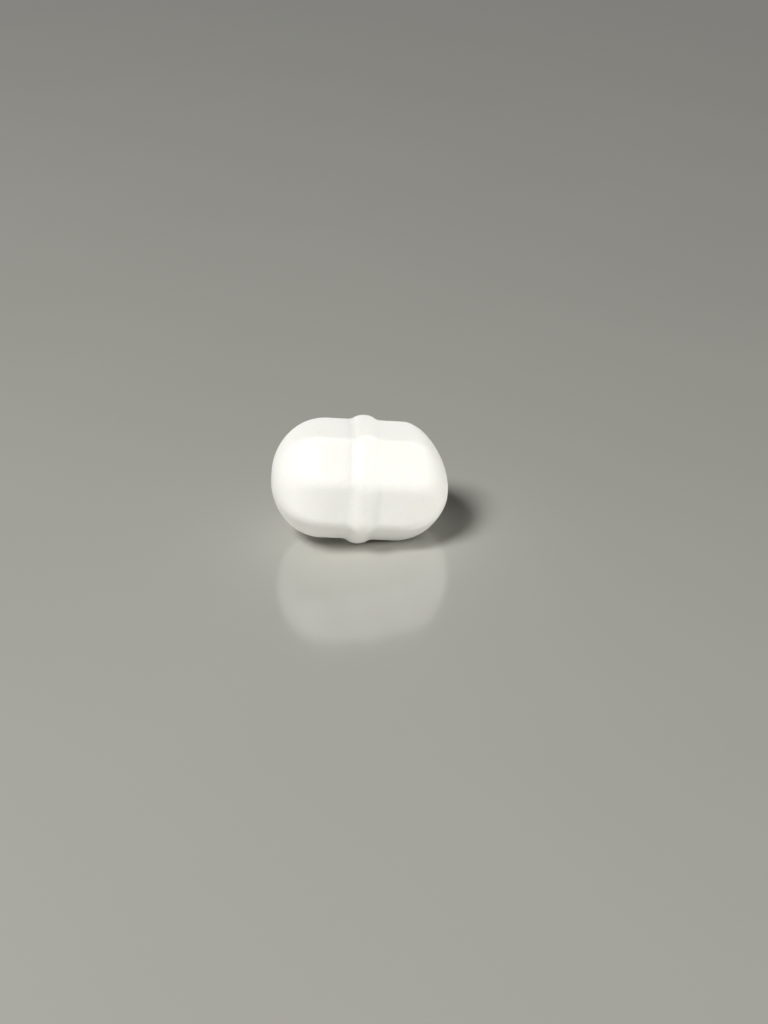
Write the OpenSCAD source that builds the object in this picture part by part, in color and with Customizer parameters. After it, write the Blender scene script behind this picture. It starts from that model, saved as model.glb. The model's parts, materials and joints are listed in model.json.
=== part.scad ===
// Magnetic stir bar: a short octagonal bar with rounded ends and a pivot ring round its middle.
// A white plastic jacket is moulded over a plain rod magnet, which it closes in on all sides.
// The bar lies as it comes to rest: on the ring and on its +X end, with the middle of the bar
// over the origin and the surface it lies on at z = 0.
// Lengths are in millimetres and angles in degrees.

/* [Bar] */
// Number of flats round the bar, an even number
flats = 8; // [6:2:12]
// Length of the bar from end to end
bar_length = 12.7; // [10.5:0.1:30]
// Width of the octagon across its flats
across_flats = 8; // [6.8:0.1:10]
// How much the rounding takes off each long edge of the octagon
edge_round = 0.08; // [0.04:0.01:0.24]
// Flat left in the middle of each rounded end
end_flat = 0.7; // [0.4:0.05:2]

/* [Pivot ring] */
// Height of the ring above the flats
ring_rise = 0.34; // [0.2:0.01:0.7]
// Radius of the ring's round crest
ring_crest = 1.35; // [0.8:0.05:1.9]
// Radius of the hollow at each foot of the ring
ring_foot = 0.95; // [0.5:0.05:1.5]

/* [Magnet] */
// Thickness of the jacket between the magnet and the flats
side_wall = 1.6; // [1.2:0.05:2.6]
// Thickness of the jacket between the magnet and each end of the bar
end_wall = 1.6; // [1.2:0.05:3]
// Bevel round both rims of the magnet
magnet_bevel = 0.3; // [0.1:0.05:0.6]

/* [Rubbed flat on the +X end] */
// Depth of the flat below the rounded end
rub_depth = 0.4; // [0.15:0.01:0.6]
// Angle between the flat and a square cut across the bar
rub_lean = 31; // [15:0.5:35]
// Direction round the bar in which the flat faces, 90 being straight up
rub_turn = 86; // [0:1:180]

/* [Hidden] */
// True round surfaces
$fn = 96;
// Turn from one flat to the next
flat_turn = 360 / flats;
// Distance of the flats from the axis, and of the sharp edges between them
flat_reach = across_flats / 2;
edge_reach = flat_reach / cos(flat_turn / 2);
// Radius that the edges are rounded with, as its height above the flats
edge_lift = edge_reach - flat_reach - edge_round;
// How far the end planes cut into the rounded ends
end_trim = 0.01;
// Radius of the rounding from the flats to the ends, and where it starts along the bar
end_round = flat_reach - end_flat / 2;
round_start = bar_length / 2 - end_round + end_trim;
// How far the hollow feet of the ring run into the flats
foot_sink = 0.004;
// Heights of the middle of the crest and of the feet, and the distance of the feet along the bar
crest_middle = flat_reach + ring_rise - ring_crest;
foot_middle = flat_reach + ring_foot - foot_sink;
foot_start = sqrt(pow(ring_crest + ring_foot, 2) - pow(foot_middle - crest_middle, 2));
// Where the crest passes into each foot
pass_share = ring_crest / (ring_crest + ring_foot);
pass_start = foot_start * pass_share;
pass_height = crest_middle + (foot_middle - crest_middle) * pass_share;
// Size of the magnet, which fills its place in the jacket
magnet_radius = flat_reach - side_wall;
magnet_half = bar_length / 2 - end_wall;
// Lean of the bar at rest and the height of its middle: a straight line touches ring and end
lean_rise = end_round - ring_crest + ring_rise;
lean_reach = sqrt(pow(lean_rise, 2) + pow(round_start, 2));
rest_lean = acos((end_round - ring_crest) / lean_reach) - atan2(round_start, lean_rise);
rest_height = crest_middle * cos(rest_lean) + ring_crest;
// Distance of the rubbed flat from the place where the rounding starts
rub_reach = end_round + end_flat / 2 * sin(rub_lean) - rub_depth;
// Size of the blocks that cut
block = 4 * across_flats;

// Side view of the bar without its ring, raised by lift all round
module plain_side(lift) {
    square([2 * round_start, 2 * (flat_reach + lift)], center = true);
    square([2 * (round_start + end_round), end_flat + 2 * lift], center = true);
    for (along = [-1, 1], up = [-1, 1])
        translate([along * round_start, up * (end_flat / 2 + lift)])
            circle(r = end_round);
}

// Side view of the ring above the flats: its crest and its hollow feet
module ring_side(lift) {
    translate([0, lift]) {
        translate([0, crest_middle])
            circle(r = ring_crest);
        difference() {
            polygon([
                [-foot_start, flat_reach - ring_foot],
                [foot_start, flat_reach - ring_foot],
                [foot_start, flat_reach],
                [pass_start, pass_height],
                [-pass_start, pass_height],
                [-foot_start, flat_reach]
            ]);
            for (along = [-1, 1])
                translate([along * foot_start, foot_middle])
                    circle(r = ring_foot);
        }
    }
}

// Side view of the whole bar
module bar_side(lift) {
    plain_side(lift);
    ring_side(lift);
    mirror([0, 1])
        ring_side(lift);
}

// Two opposite flats with their share of the ring and of the rounded ends
module flat_pair(turn) {
    rotate([turn, 0, 0])
        rotate([90, 0, 0])
            linear_extrude(height = block, center = true)
                bar_side(0);
}

// Round form that takes the sharpness off the edges between the flats
module edge_form() {
    rotate([0, 90, 0])
        rotate_extrude()
            intersection() {
                rotate(90)
                    bar_side(edge_lift);
                translate([0, -bar_length])
                    square([block, 2 * bar_length]);
            }
}

// Bar as moulded, solid
module bar_form() {
    intersection() {
        intersection_for(pair = [1 : flats / 2])
            flat_pair(pair * flat_turn);
        edge_form();
        cube([bar_length, block, block], center = true);
    }
}

// What has been rubbed off the upper side of the +X end
module rubbed_off() {
    translate([round_start, 0, 0])
        rotate([rub_turn - 90, 0, 0])
            rotate([0, -rub_lean, 0])
                translate([rub_reach + block / 2, 0, 0])
                    cube(block, center = true);
}

// Rod with bevelled rims
module magnet_form() {
    rotate([0, 90, 0])
        rotate_extrude()
            polygon([
                [0, -magnet_half],
                [magnet_radius - magnet_bevel, -magnet_half],
                [magnet_radius, magnet_bevel - magnet_half],
                [magnet_radius, magnet_half - magnet_bevel],
                [magnet_radius - magnet_bevel, magnet_half],
                [0, magnet_half]
            ]);
}

// Leans the bar over and sets it down
module at_rest() {
    translate([0, 0, rest_height])
        rotate([0, rest_lean, 0])
            children();
}

module jacket() {
    color("white")
        at_rest()
            difference() {
                bar_form();
                rubbed_off();
                magnet_form();
            }
}

module magnet_core() {
    color("dimgray")
        at_rest()
            magnet_form();
}

jacket();
magnet_core();
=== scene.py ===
import json
import math
import random

import bpy
import numpy as np
from mathutils import Matrix, Vector, noise


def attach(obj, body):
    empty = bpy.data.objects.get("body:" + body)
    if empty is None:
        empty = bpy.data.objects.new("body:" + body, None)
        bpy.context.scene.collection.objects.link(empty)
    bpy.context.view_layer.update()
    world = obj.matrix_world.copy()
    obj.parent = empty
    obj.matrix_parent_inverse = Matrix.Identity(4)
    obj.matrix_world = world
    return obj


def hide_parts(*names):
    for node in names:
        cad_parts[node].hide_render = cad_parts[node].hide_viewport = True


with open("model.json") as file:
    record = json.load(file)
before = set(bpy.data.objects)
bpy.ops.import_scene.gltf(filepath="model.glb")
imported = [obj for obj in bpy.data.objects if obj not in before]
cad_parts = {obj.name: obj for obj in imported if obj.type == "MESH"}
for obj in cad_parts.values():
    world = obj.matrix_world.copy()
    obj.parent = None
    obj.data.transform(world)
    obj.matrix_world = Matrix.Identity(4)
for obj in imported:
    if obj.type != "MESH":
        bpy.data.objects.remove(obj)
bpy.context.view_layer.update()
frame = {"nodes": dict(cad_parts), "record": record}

# Magnetic stir bar: its jacket is modelled anew over the CAD solid, with soft edges and traces of use.
# The magnet inside keeps its CAD form and gets a material.

# Sizes of the bar in millimetres, as in the solids, and the number of its flats
FLATS = 8
BAR_LENGTH = 12.7
ACROSS_FLATS = 8.0
END_FLAT = 0.7
RING_RISE = 0.34
RING_CREST = 1.35
RING_FOOT = 0.95
SIDE_WALL = 1.6
END_WALL = 1.6
MAGNET_BEVEL = 0.3
RUB_DEPTH = 0.4
RUB_LEAN = math.radians(31)
RUB_TURN = math.radians(86)
# The rubbed face is not quite flat: it follows a large ball, which lies a little above the flat in the
# solids, and passes softly into the rounded end
RUB_BALL = 8.0
RUB_LIFT = 0.09
RUB_SOFTNESS = 0.5

# Radius of the long edges beside the ring, on the ring and on the tips
EDGE_FILLET = 0.45
RING_FILLET = 0.75
TIP_FILLET = 2.0
# How much more of it the edges have in front, beside the ring and on the ring
FRONT_FILLET = 0.75
FRONT_RING_FILLET = 1.0

# Unevenness of the moulded surface: depth and spacing of its waves and ripples, and the part of
# the random pattern that they are taken from
WAVE_DEPTH = 0.014
WAVE_SPACING = 2.6
WAVE_SHIFT = 3.7
RIPPLE_DEPTH = 0.004
RIPPLE_SPACING = 0.7
RIPPLE_SHIFT = 8.1
# Dents along the edges: least and greatest depth and radius, and how far they stray as an angle
DENT_COUNT = 46
DENT_DEPTH = (0.008, 0.03)
DENT_RADIUS = (0.12, 0.34)
DENT_STRAY = 0.05
DENT_SEED = 11
# Two pits on the flat that faces up and to the front: place along the bar, across the flat, radius
PITS = ((-2.23, 0.98, 0.09), (-0.93, 1.44, 0.08))
PIT_DEPTH = 0.03
# How steep the sides of dents and pits are
HOLLOW_STEEPNESS = 2
# How far the rubbing of the edges and of the ring's crest reaches
EDGE_WEAR = 0.3
RING_WEAR = 0.4

# Fineness of the mesh: cells across each end cap, run of a cap from its tip, cells from cap to cap
# and sides of the magnet's place
CAP_CELLS = 80
CAP_RUN = 2.2
TUBE_CELLS = 198
CAVITY_SIDES = 72
# How much closer together the cells lie at the edges and on the ring, and how wide the edges count
EDGE_CROWDING = 3
EDGE_WIDTH = math.radians(3.6)
RING_CROWDING = 1.2
# Steps in which such a spacing is added up
SPREAD_STEPS = 4000

# The photograph's camera, in pixels of its frame, degrees and millimetres
PHOTO_WIDTH = 768
PHOTO_HEIGHT = 1024
FOCAL_PIXELS = 1500
BAR_PIXEL = (360.5, 479.5)
CAMERA_ELEVATION = math.radians(29.8)
CAMERA_YAW = math.radians(4.5)
CAMERA_ROLL = math.radians(-1.0)
CAMERA_DEPTH = 107.0
SENSOR = 36.0
# Nearest and farthest distance that the camera shows, in metres
CAMERA_NEAR = 0.001
CAMERA_FAR = 10.0

# Sizes and distance of the soft lights in metres, and half the width of the floor
KEY_SIZE = 0.14
FILL_SIZE = 0.2
LIGHT_DISTANCE = 0.45
FLOOR_HALF = 1.6
# The key light: direction from the bar, power in watts and colour
KEY_DIRECTION = (-0.45, -0.34, 0.83)
KEY_POWER = 1.38
KEY_COLOUR = (1.0, 0.995, 0.97)
# The fill lights: name, direction from the bar, power in watts and colour
PLAIN_WHITE = (1.0, 1.0, 1.0)
WARM_WHITE = (1.0, 0.99, 0.965)
FILLS = (
    ("back_fill", (0.0, 0.65, 0.73), 0.6, PLAIN_WHITE),
    ("right_fill", (1.0, 0.0, 0.14), 1.4, WARM_WHITE),
    ("front_fill", (0.1, -1.0, 0.28), 0.9, WARM_WHITE),
    ("left_fill", (-0.95, 0.35, 0.09), 0.7, WARM_WHITE),
)
# The backdrop's colour, and its strength from the horizon to above, by the sine of the height
BACKDROP_COLOUR = (1.0, 0.99, 0.96, 1)
BACKDROP_FADE = {"From Min": 0.08, "From Max": 0.45, "To Min": 0.3, "To Max": 0.02}

# Colours of the jacket: its cloudy ground, then its mottling and grain and what use leaves on it
JACKET_CLOUDY = (0.885, 0.88, 0.835, 1)
JACKET_CLEAR = (0.925, 0.923, 0.89, 1)
MOTTLE_COLOUR = (0.9, 0.895, 0.845, 1)
GRAIN_COLOUR = (0.945, 0.943, 0.915, 1)
SCUFF_COLOUR = (0.8, 0.79, 0.74, 1)
SCRATCH_COLOUR = (0.76, 0.75, 0.7, 1)
SPECK_COLOUR = (0.66, 0.63, 0.56, 1)
# Darkest and lightest patches of the magnet and of the floor
MAGNET_COLOURS = ((0.24, 0.24, 0.25, 1), (0.42, 0.42, 0.42, 1))
FLOOR_COLOURS = ((0.64, 0.636, 0.591, 1), (0.68, 0.676, 0.628, 1))
# Refractive index of the jacket's plastic and of the floor's gloss
JACKET_IOR = 1.36
FLOOR_IOR = 1.9

MM = 0.001
FLAT_TURN = 2 * math.pi / FLATS
FLAT_REACH = ACROSS_FLATS / 2
END_ROUND = FLAT_REACH - END_FLAT / 2
ROUND_START = BAR_LENGTH / 2 - END_ROUND
MAGNET_RADIUS = FLAT_REACH - SIDE_WALL
MAGNET_HALF = BAR_LENGTH / 2 - END_WALL

mounts = {mount["name"]: mount for mount in frame["record"]["mounts"]}
top_axis = mounts["grip_flat"]["axis"]
REST_LEAN = math.atan2(top_axis[0], top_axis[2])
REST_HEIGHT = mounts["drive_coupling"]["pos_m"][2] / MM
BAR_TO_PART = Matrix.Translation((0, 0, REST_HEIGHT * MM)) @ Matrix.Rotation(REST_LEAN, 4, "Y")


# The jacket's form

class SideView:
    """Half of the bar's side view, as a path that runs from the crest of the ring to the tip."""

    def __init__(self):
        self.crest_middle = FLAT_REACH + RING_RISE - RING_CREST
        self.foot_middle = FLAT_REACH + RING_FOOT
        arcs = RING_CREST + RING_FOOT
        rise = self.foot_middle - self.crest_middle
        self.foot_start = math.sqrt(arcs ** 2 - rise ** 2)
        flank = math.asin(self.foot_start / arcs)
        self.crest_end = RING_CREST * flank
        self.foot_end = self.crest_end + RING_FOOT * flank
        self.flat_end = self.foot_end + ROUND_START - self.foot_start
        self.round_end = self.flat_end + END_ROUND * math.pi / 2
        self.length = self.round_end + END_FLAT / 2

    def at(self, run):
        """Place along the bar and height over its axis after each run from the crest."""
        on_crest = run / RING_CREST
        on_foot = (self.foot_end - run) / RING_FOOT
        on_round = (run - self.flat_end) / END_ROUND
        pieces = [run < self.crest_end, run < self.foot_end, run < self.flat_end, run < self.round_end]
        place = np.select(pieces, [
            RING_CREST * np.sin(on_crest),
            self.foot_start - RING_FOOT * np.sin(on_foot),
            self.foot_start + run - self.foot_end,
            ROUND_START + END_ROUND * np.sin(on_round),
        ], BAR_LENGTH / 2)
        height = np.select(pieces, [
            self.crest_middle + RING_CREST * np.cos(on_crest),
            self.foot_middle - RING_FOOT * np.cos(on_foot),
            FLAT_REACH,
            END_FLAT / 2 + END_ROUND * np.cos(on_round),
        ], np.maximum(self.length - run, 0))
        return place, height


side_view = SideView()


def edge_fillet(run, turn):
    """Radius of the long edges, which are crisp on top and softer in front, on the ring and on the ends."""
    front = np.minimum(np.cos(turn), 0) ** 2
    edge = EDGE_FILLET + FRONT_FILLET * front
    on_ring = RING_FILLET + FRONT_RING_FILLET * front
    ring = np.exp(-(run / side_view.crest_end) ** 2)
    tip = np.clip((run - side_view.flat_end) / (side_view.round_end - side_view.flat_end), 0, 1)
    return edge + (on_ring - edge) * ring + (TIP_FILLET - EDGE_FILLET) * tip


def from_flat(turn):
    """Angle of each direction round the bar from the middle of the nearest flat."""
    return np.abs((turn + FLAT_TURN / 2) % FLAT_TURN - FLAT_TURN / 2)


def section_reach(height, fillet, turn):
    """Distance from the axis to an octagon with rounded corners, whose flats lie at that height."""
    fillet = np.minimum(fillet, height)
    corner = (height - fillet) / math.cos(FLAT_TURN / 2)
    off = from_flat(turn)
    skew = FLAT_TURN / 2 - off
    on_fillet = corner * np.cos(skew) + np.sqrt(np.maximum(fillet ** 2 - (corner * np.sin(skew)) ** 2, 0))
    on_flat = np.tan(off) * height < (height - fillet) * math.tan(FLAT_TURN / 2)
    return np.where(on_flat, height / np.cos(off), on_fillet)


def rub_ball():
    """Middle of the large ball that the rubbed face of the +X end follows."""
    facing = np.array([
        math.cos(RUB_LEAN),
        math.sin(RUB_LEAN) * math.cos(RUB_TURN),
        math.sin(RUB_LEAN) * math.sin(RUB_TURN),
    ])
    foot = np.array([ROUND_START, 0, END_FLAT / 2])
    return foot + facing * (END_ROUND - RUB_DEPTH + RUB_LIFT - RUB_BALL)


def rubbed_depth(points):
    """How much the rubbing takes off at each point of the rounded end."""
    over = np.linalg.norm(points - rub_ball(), axis=1) - RUB_BALL
    near = np.maximum(RUB_SOFTNESS - np.abs(over), 0) / RUB_SOFTNESS
    return np.maximum(over, 0) + near ** 2 * RUB_SOFTNESS / 4


def moulded_surface(run, turn):
    """Points of the bar as moulded, by the signed run from the ring's crest and the turn round the axis."""
    place, height = side_view.at(np.abs(run))
    reach = section_reach(height, edge_fillet(np.abs(run), turn), turn)
    return np.stack([np.sign(run) * place, reach * np.cos(turn), reach * np.sin(turn)], axis=1)


def bar_surface(run, turn):
    """Points of the bar's surface with the face rubbed on its +X end."""
    points = moulded_surface(run, turn)
    away = points - rub_ball()
    away /= np.linalg.norm(away, axis=1)[:, None]
    return points - away * rubbed_depth(points)[:, None]


def spread(low, high, count, density):
    """Places count + 1 values from low to high, closer together where the density is higher."""
    fine = np.linspace(low, high, SPREAD_STEPS + 1)
    weight = density(fine)
    total = np.concatenate([[0], np.cumsum((weight[1:] + weight[:-1]) / 2)])
    return np.interp(np.linspace(0, total[-1], count + 1), total, fine)


def cap_turns():
    """Directions round a quarter of the bar, closer together at the edges between the flats."""
    return spread(-math.pi / 4, math.pi / 4, CAP_CELLS, lambda turn: (
        1 + EDGE_CROWDING * np.exp(-((np.abs(turn) - FLAT_TURN / 2) / EDGE_WIDTH) ** 2)))


def rim_of_grid():
    """Numbers of the vertices round a cap's grid, in order of their turn."""
    side = np.arange(CAP_CELLS)
    row = CAP_CELLS + 1
    last = CAP_CELLS
    return np.concatenate([
        last * row + side,
        (last - side) * row + last,
        last - side,
        side * row,
    ])


def grid_faces():
    """Four-sided faces of a cap's grid."""
    row = CAP_CELLS + 1
    first = (np.arange(CAP_CELLS)[:, None] * row + np.arange(CAP_CELLS)[None, :]).ravel()
    return np.stack([first, first + row, first + row + 1, first + 1], axis=1)


def outer_skin():
    """Runs, turns and faces of the jacket's outside: a tube with a square grid drawn round at each end."""
    turns = cap_turns()
    grid_line = math.sqrt(2) * np.sin(turns)
    across, up = [axis.ravel() for axis in np.meshgrid(grid_line, grid_line, indexing="ij")]
    disc_y = across * np.sqrt(1 - up ** 2 / 2)
    disc_z = up * np.sqrt(1 - across ** 2 / 2)
    cap_run = side_view.length - np.hypot(disc_y, disc_z) * CAP_RUN
    cap_turn = np.arctan2(disc_z, disc_y)
    rim = rim_of_grid()
    tube_half = side_view.length - CAP_RUN
    ring_width = side_view.foot_end
    stations = spread(-tube_half, tube_half, TUBE_CELLS, lambda run: (
        1 + RING_CROWDING * np.exp(-(run / ring_width) ** 4)))[1:-1]
    runs = np.concatenate([-cap_run, np.repeat(stations, len(rim)), cap_run])
    tube_turn = np.tile(cap_turn[rim], len(stations))
    all_turns = np.concatenate([cap_turn, tube_turn, cap_turn])
    cap_size = len(cap_run)
    rings = [rim]
    rings += [cap_size + k * len(rim) + np.arange(len(rim)) for k in range(len(stations))]
    right_cap = cap_size + len(stations) * len(rim)
    rings.append(right_cap + rim)
    faces = [grid_faces()[:, ::-1], grid_faces() + right_cap]
    for ring, following in zip(rings, rings[1:]):
        faces.append(np.stack([ring, np.roll(ring, -1), np.roll(following, -1), following], axis=1))
    return runs, all_turns, np.concatenate(faces)


def cavity_skin(start):
    """Points and faces of the closed place of the magnet, numbered from start and facing inwards."""
    turn = np.arange(CAVITY_SIDES) * 2 * math.pi / CAVITY_SIDES
    rim = MAGNET_RADIUS - MAGNET_BEVEL
    outline = [
        (-MAGNET_HALF, rim),
        (MAGNET_BEVEL - MAGNET_HALF, MAGNET_RADIUS),
        (MAGNET_HALF - MAGNET_BEVEL, MAGNET_RADIUS),
        (MAGNET_HALF, rim),
    ]
    points = np.concatenate([
        np.stack([np.full(CAVITY_SIDES, place), reach * np.cos(turn), reach * np.sin(turn)], axis=1)
        for place, reach in outline])
    rings = [start + k * CAVITY_SIDES + np.arange(CAVITY_SIDES) for k in range(len(outline))]
    faces = [rings[0].tolist(), rings[-1][::-1].tolist()]
    for ring, following in zip(rings, rings[1:]):
        quads = np.stack([ring, following, np.roll(following, -1), np.roll(ring, -1)], axis=1)
        faces += quads.tolist()
    return points, faces


def waves(points, spacing, shift):
    """Smooth random heights from 0 to 1 at each point."""
    start = Vector((shift, shift, shift))
    return np.array([noise.noise(Vector(point) / spacing + start) for point in points]) * 0.5 + 0.5


def hollow(points, middle, radius):
    """Depth from 0 to 1 of a round hollow about a middle."""
    near = np.sum((points - middle) ** 2, axis=1) / radius ** 2
    return np.exp(-HOLLOW_STEEPNESS * near)


def dents(points):
    """Depths of small knocks that lie along the edges between the flats."""
    draw = random.Random(DENT_SEED)
    depth = np.zeros(len(points))
    for _ in range(DENT_COUNT):
        run = np.array([draw.uniform(-1, 1) * side_view.round_end])
        edge = (draw.randrange(FLATS) + 0.5) * FLAT_TURN + draw.gauss(0, DENT_STRAY)
        middle = bar_surface(run, np.array([edge]))[0]
        deep = draw.uniform(*DENT_DEPTH)
        depth += deep * hollow(points, middle, draw.uniform(*DENT_RADIUS))
    return depth


def pits(points):
    """Depths of the two pits on the flat that faces up and to the front."""
    slope = math.sqrt(0.5)
    facing = np.array([0, -slope, slope])
    across = np.array([0, slope, slope])
    depth = np.zeros(len(points))
    for along, aside, radius in PITS:
        middle = facing * FLAT_REACH + across * aside + np.array([along, 0, 0])
        depth += PIT_DEPTH * hollow(points, middle, radius)
    return depth


def wear(run, turn):
    """How much each point has been rubbed: most on the edges, the ring's crest and the rubbed flat."""
    _, height = side_view.at(np.abs(run))
    from_edge = height * (FLAT_TURN / 2 - from_flat(turn))
    on_edge = np.exp(-(from_edge / EDGE_WEAR) ** 2) * np.clip(height / FLAT_REACH, 0, 1) ** 2
    on_ring = np.exp(-(run / RING_WEAR) ** 2)
    on_rub = np.clip(rubbed_depth(moulded_surface(run, turn)) / RUB_DEPTH, 0, 1)
    return np.maximum(np.maximum(on_edge, on_ring), on_rub)


def build_jacket():
    """Moulded jacket, uneven on its outside, with the closed place of the magnet inside."""
    run, turn, quads = outer_skin()
    outside = bar_surface(run, turn)
    inside, cavity_faces = cavity_skin(len(outside))
    mesh = bpy.data.meshes.new("jacket_moulding")
    mesh.from_pydata(np.concatenate([outside, inside]), [], quads.tolist() + cavity_faces)
    normals = np.zeros(len(mesh.vertices) * 3, np.float32)
    mesh.vertices.foreach_get("normal", normals)
    normals = normals.reshape(-1, 3)[:len(outside)]
    depth = WAVE_DEPTH * waves(outside, WAVE_SPACING, WAVE_SHIFT)
    depth += RIPPLE_DEPTH * waves(outside, RIPPLE_SPACING, RIPPLE_SHIFT)
    depth += dents(outside) + pits(outside)
    uneven = outside - normals * depth[:, None]
    mesh.vertices.foreach_set("co", np.concatenate([uneven, inside]).astype(np.float32).ravel())
    mesh.transform(BAR_TO_PART @ Matrix.Scale(MM, 4))
    rubbed = mesh.attributes.new("wear", "FLOAT", "POINT")
    worn = np.concatenate([wear(run, turn), np.zeros(len(inside))])
    rubbed.data.foreach_set("value", worn.astype(np.float32))
    mesh.polygons.foreach_set("use_smooth", np.arange(len(mesh.polygons)) < len(quads))
    mesh.update()
    jacket = bpy.data.objects.new("jacket_moulding", mesh)
    bpy.context.scene.collection.objects.link(jacket)
    return jacket


# Materials

class Graph:
    """Small helper that adds nodes to one material and links them."""

    # Sockets of a Mix node that are for colours
    MIX_SHARE = 0
    MIX_FIRST = 6
    MIX_SECOND = 7
    MIX_RESULT = 2

    def __init__(self, name):
        self.material = bpy.data.materials.new(name)
        self.material.use_nodes = True
        self.tree = self.material.node_tree
        self.shader = self.tree.nodes["Principled BSDF"]

    def add(self, kind, settings=None, **inputs):
        """New node of a kind, with its settings, and with values or links on its inputs."""
        node = self.tree.nodes.new("ShaderNode" + kind)
        for key, value in (settings or {}).items():
            setattr(node, key, value)
        for key, value in inputs.items():
            self.put(node.inputs[key.replace("_", " ")], value)
        return node

    def put(self, socket, value):
        """Links a socket to another one, or sets its own value."""
        if isinstance(value, bpy.types.NodeSocket):
            self.tree.links.new(value, socket)
        else:
            socket.default_value = value

    def finish(self, **inputs):
        """The material, with values or links on the inputs of its shader."""
        for key, value in inputs.items():
            self.put(self.shader.inputs[key.replace("_", " ")], value)
        return self.material

    def bar_place(self, stretch=(1, 1, 1), turn=(0, 0, 0)):
        """Place in the bar's own frame, in millimetres, turned and then stretched along its axes."""
        coordinates = self.add("TexCoord").outputs["Object"]
        lift = self.add("Mapping", Vector=coordinates, Location=(0, 0, -REST_HEIGHT * MM)).outputs[0]
        level = self.add("Mapping", Vector=lift, Rotation=(0, -REST_LEAN, 0)).outputs[0]
        turned = self.add("Mapping", Vector=level, Rotation=turn).outputs[0]
        return self.add("Mapping", Vector=turned, Scale=[share / MM for share in stretch]).outputs[0]

    def noise(self, place, scale, detail, roughness):
        """Random values from 0 to 1, most of them near the middle."""
        node = self.add("TexNoise", Vector=place, Scale=scale, Detail=detail, Roughness=roughness)
        return node.outputs[0]

    def remap(self, value, old, new=(0, 1)):
        """A value moved from an old range into a new one, and kept within it."""
        node = self.add(
            "MapRange", Value=value, From_Min=old[0], From_Max=old[1], To_Min=new[0], To_Max=new[1])
        return node.outputs[0]

    def calculate(self, operation, first, second):
        """Result of an operation on two values."""
        node = self.add("Math", {"operation": operation})
        self.put(node.inputs[0], first)
        self.put(node.inputs[1], second)
        return node.outputs[0]

    def mix(self, share, first, second):
        """Colour between a first and a second one, by the second one's share."""
        node = self.add("Mix", {"data_type": "RGBA"})
        self.put(node.inputs[self.MIX_SHARE], share)
        self.put(node.inputs[self.MIX_FIRST], first)
        self.put(node.inputs[self.MIX_SECOND], second)
        return node.outputs[self.MIX_RESULT]

    def bump(self, height, strength, distance, normal=None):
        """Normal of a surface with such heights on it, over the one given."""
        node = self.add("Bump", Height=height, Strength=strength, Distance=distance)
        if normal is not None:
            self.put(node.inputs["Normal"], normal)
        return node.outputs[0]


def hair_scratches(graph):
    """Mask of sparse fine scratches in two directions, drawn out from two turned patterns."""
    first = graph.bar_place(stretch=(0.35, 5.0, 5.0), turn=(0.4, 0.5, 0.6))
    second = graph.bar_place(stretch=(0.45, 6.0, 6.0), turn=(-0.7, 0.9, -0.5))
    streaks = graph.calculate(
        "MAXIMUM",
        graph.noise(first, scale=1.3, detail=2.0, roughness=0.4),
        graph.noise(second, scale=1.1, detail=2.0, roughness=0.4))
    return graph.remap(streaks, old=(0.71, 0.76))


def white_jacket():
    """Moulded fluoropolymer: white, faintly cloudy and waxy, with a fine grain and traces of use."""
    graph = Graph("jacket_white")
    place = graph.bar_place()
    clouds = graph.noise(place, scale=0.45, detail=4.0, roughness=0.6)
    mottle = graph.remap(graph.noise(place, scale=2.4, detail=3.0, roughness=0.55), old=(0.35, 0.65))
    grain = graph.noise(place, scale=6.5, detail=4.0, roughness=0.65)
    swell = graph.noise(place, scale=2.1, detail=3.0, roughness=0.5)
    worn = graph.add("Attribute", {"attribute_name": "wear"}).outputs["Fac"]
    patchy = graph.remap(graph.noise(place, scale=3.1, detail=4.0, roughness=0.65), old=(0.45, 0.7))
    scuff = graph.calculate("MULTIPLY", worn, patchy)
    scratches = hair_scratches(graph)
    specks = graph.remap(graph.noise(place, scale=5.3, detail=1.0, roughness=0.4), old=(0.77, 0.83))
    layers = (
        (mottle, 0.5, MOTTLE_COLOUR),
        (graph.remap(grain, old=(0.35, 0.65)), 0.6, GRAIN_COLOUR),
        (scuff, 0.3, SCUFF_COLOUR),
        (scratches, 0.15, SCRATCH_COLOUR),
        (specks, 0.4, SPECK_COLOUR),
    )
    colour = graph.mix(graph.remap(clouds, old=(0.3, 0.7)), JACKET_CLOUDY, JACKET_CLEAR)
    for mask, share, tint in layers:
        colour = graph.mix(graph.calculate("MULTIPLY", mask, share), colour, tint)
    roughness = graph.remap(mottle, old=(0, 1), new=(0.36, 0.46))
    for mask, added in ((scuff, 0.14), (scratches, 0.06)):
        roughness = graph.calculate("ADD", roughness, graph.calculate("MULTIPLY", mask, added))
    grooves = graph.calculate("MULTIPLY", scratches, -1)
    normal = graph.bump(grain, strength=0.35, distance=0.02 * MM)
    normal = graph.bump(swell, strength=0.25, distance=0.03 * MM, normal=normal)
    normal = graph.bump(grooves, strength=0.35, distance=0.008 * MM, normal=normal)
    return graph.finish(
        Base_Color=colour, Roughness=roughness, Normal=normal, IOR=JACKET_IOR,
        Subsurface_Weight=0.6, Subsurface_Radius=(1.0, 0.94, 0.82), Subsurface_Scale=0.6 * MM)


def magnet_metal():
    """Cast and ground magnet alloy: dull grey, grainy, with fine grinding lines round the rod."""
    graph = Graph("magnet_metal")
    place = graph.bar_place()
    lines = graph.noise(graph.bar_place(stretch=(9.0, 0.4, 0.4)), scale=1.4, detail=3.0, roughness=0.6)
    patches = graph.noise(place, scale=0.8, detail=4.0, roughness=0.6)
    grain = graph.noise(place, scale=11.0, detail=3.0, roughness=0.6)
    normal = graph.bump(lines, strength=0.3, distance=0.02 * MM)
    normal = graph.bump(grain, strength=0.3, distance=0.02 * MM, normal=normal)
    return graph.finish(
        Base_Color=graph.mix(patches, *MAGNET_COLOURS), Normal=normal, Metallic=1.0,
        Roughness=graph.remap(lines, old=(0.3, 0.7), new=(0.38, 0.62)))


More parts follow.
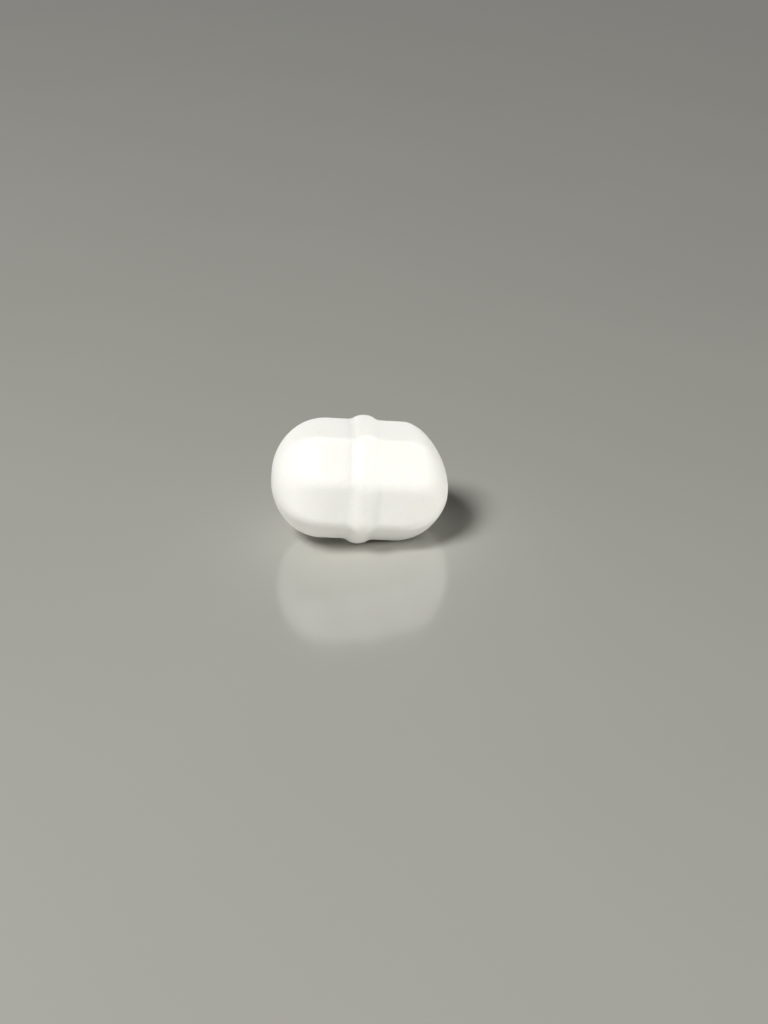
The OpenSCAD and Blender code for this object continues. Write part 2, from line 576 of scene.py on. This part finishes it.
def floor_grey():
    """Plain pale warm grey sheet with a soft gloss."""
    graph = Graph("floor_grey")
    place = graph.add("TexCoord").outputs["Object"]
    patches = graph.noise(place, scale=30.0, detail=3.0, roughness=0.5)
    grain = graph.noise(place, scale=2600.0, detail=2.0, roughness=0.5)
    return graph.finish(
        Base_Color=graph.mix(patches, *FLOOR_COLOURS), IOR=FLOOR_IOR,
        Roughness=graph.remap(patches, old=(0.3, 0.7), new=(0.12, 0.16)),
        Normal=graph.bump(grain, strength=0.06, distance=0.02 * MM))


# Stage, light and camera

def add_floor():
    """Flat sheet that the bar lies on."""
    corners = [(-1, -1), (1, -1), (1, 1), (-1, 1)]
    mesh = bpy.data.meshes.new("floor")
    mesh.from_pydata([(x * FLOOR_HALF, y * FLOOR_HALF, 0) for x, y in corners], [], [(0, 1, 2, 3)])
    floor = bpy.data.objects.new("floor", mesh)
    bpy.context.scene.collection.objects.link(floor)
    mesh.materials.append(floor_grey())


def add_light(name, direction, size, power, colour):
    """Square soft light that stands off in a direction and faces the bar, out of the camera's sight."""
    light = bpy.data.lights.new(name, "AREA")
    light.size = size
    light.energy = power
    light.color = colour
    lamp = bpy.data.objects.new(name, light)
    away = Vector(direction).normalized()
    lamp.location = away * LIGHT_DISTANCE
    lamp.rotation_mode = "QUATERNION"
    lamp.rotation_quaternion = away.to_track_quat("Z", "Y")
    lamp.visible_camera = False
    bpy.context.scene.collection.objects.link(lamp)
    return lamp


def add_lights(bar):
    """A key light high up in front on the left, and fills all round that light the bar and not the floor."""
    bar_only = bpy.data.collections.new("bar_only")
    bar_only.objects.link(bar)
    add_light("key", KEY_DIRECTION, KEY_SIZE, KEY_POWER, KEY_COLOUR)
    for name, direction, power, colour in FILLS:
        fill = add_light(name, direction, FILL_SIZE, power, colour)
        fill.visible_glossy = False
        fill.light_linking.receiver_collection = bar_only


def add_backdrop():
    """Pale backdrop all round, which darkens above, so that it shows in low views and lights little."""
    world = bpy.data.worlds.new("backdrop")
    world.use_nodes = True
    nodes = world.node_tree.nodes
    links = world.node_tree.links
    direction = nodes.new("ShaderNodeTexCoord").outputs["Generated"]
    parts = nodes.new("ShaderNodeSeparateXYZ")
    fade = nodes.new("ShaderNodeMapRange")
    fade.interpolation_type = "SMOOTHSTEP"
    links.new(direction, parts.inputs[0])
    links.new(parts.outputs["Z"], fade.inputs["Value"])
    for name, value in BACKDROP_FADE.items():
        fade.inputs[name].default_value = value
    links.new(fade.outputs[0], nodes["Background"].inputs["Strength"])
    nodes["Background"].inputs["Color"].default_value = BACKDROP_COLOUR
    bpy.context.scene.world = world


def add_camera():
    """Camera of the photograph, which shows the middle of the bar at BAR_PIXEL."""
    level = Vector((math.sin(CAMERA_YAW), math.cos(CAMERA_YAW), 0))
    ahead = level * math.cos(CAMERA_ELEVATION) - Vector((0, 0, math.sin(CAMERA_ELEVATION)))
    side = Vector((math.cos(CAMERA_YAW), -math.sin(CAMERA_YAW), 0))
    right = side * math.cos(CAMERA_ROLL) + side.cross(ahead) * math.sin(CAMERA_ROLL)
    up = right.cross(ahead)
    aside = (BAR_PIXEL[0] - PHOTO_WIDTH / 2) / FOCAL_PIXELS
    below = (BAR_PIXEL[1] - PHOTO_HEIGHT / 2) / FOCAL_PIXELS
    sight = ahead + right * aside - up * below
    data = bpy.data.cameras.new("camera")
    data.sensor_width = SENSOR
    data.lens = SENSOR * FOCAL_PIXELS / PHOTO_HEIGHT
    data.clip_start = CAMERA_NEAR
    data.clip_end = CAMERA_FAR
    camera = bpy.data.objects.new("camera", data)
    turn = Matrix((right, up, -ahead)).transposed().to_4x4()
    eye = Vector((0, 0, REST_HEIGHT)) - sight * CAMERA_DEPTH
    camera.matrix_world = Matrix.Translation(eye * MM) @ turn
    bpy.context.scene.collection.objects.link(camera)
    bpy.context.scene.camera = camera


bpy.context.scene.view_settings.view_transform = "Standard"
add_camera()
add_floor()
add_backdrop()

jacket = build_jacket()
add_lights(jacket)
jacket.data.materials.append(white_jacket())
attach(jacket, "root")
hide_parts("jacket")

magnet = frame["nodes"]["magnet_core"]
magnet.material_slots[0].material = magnet_metal()
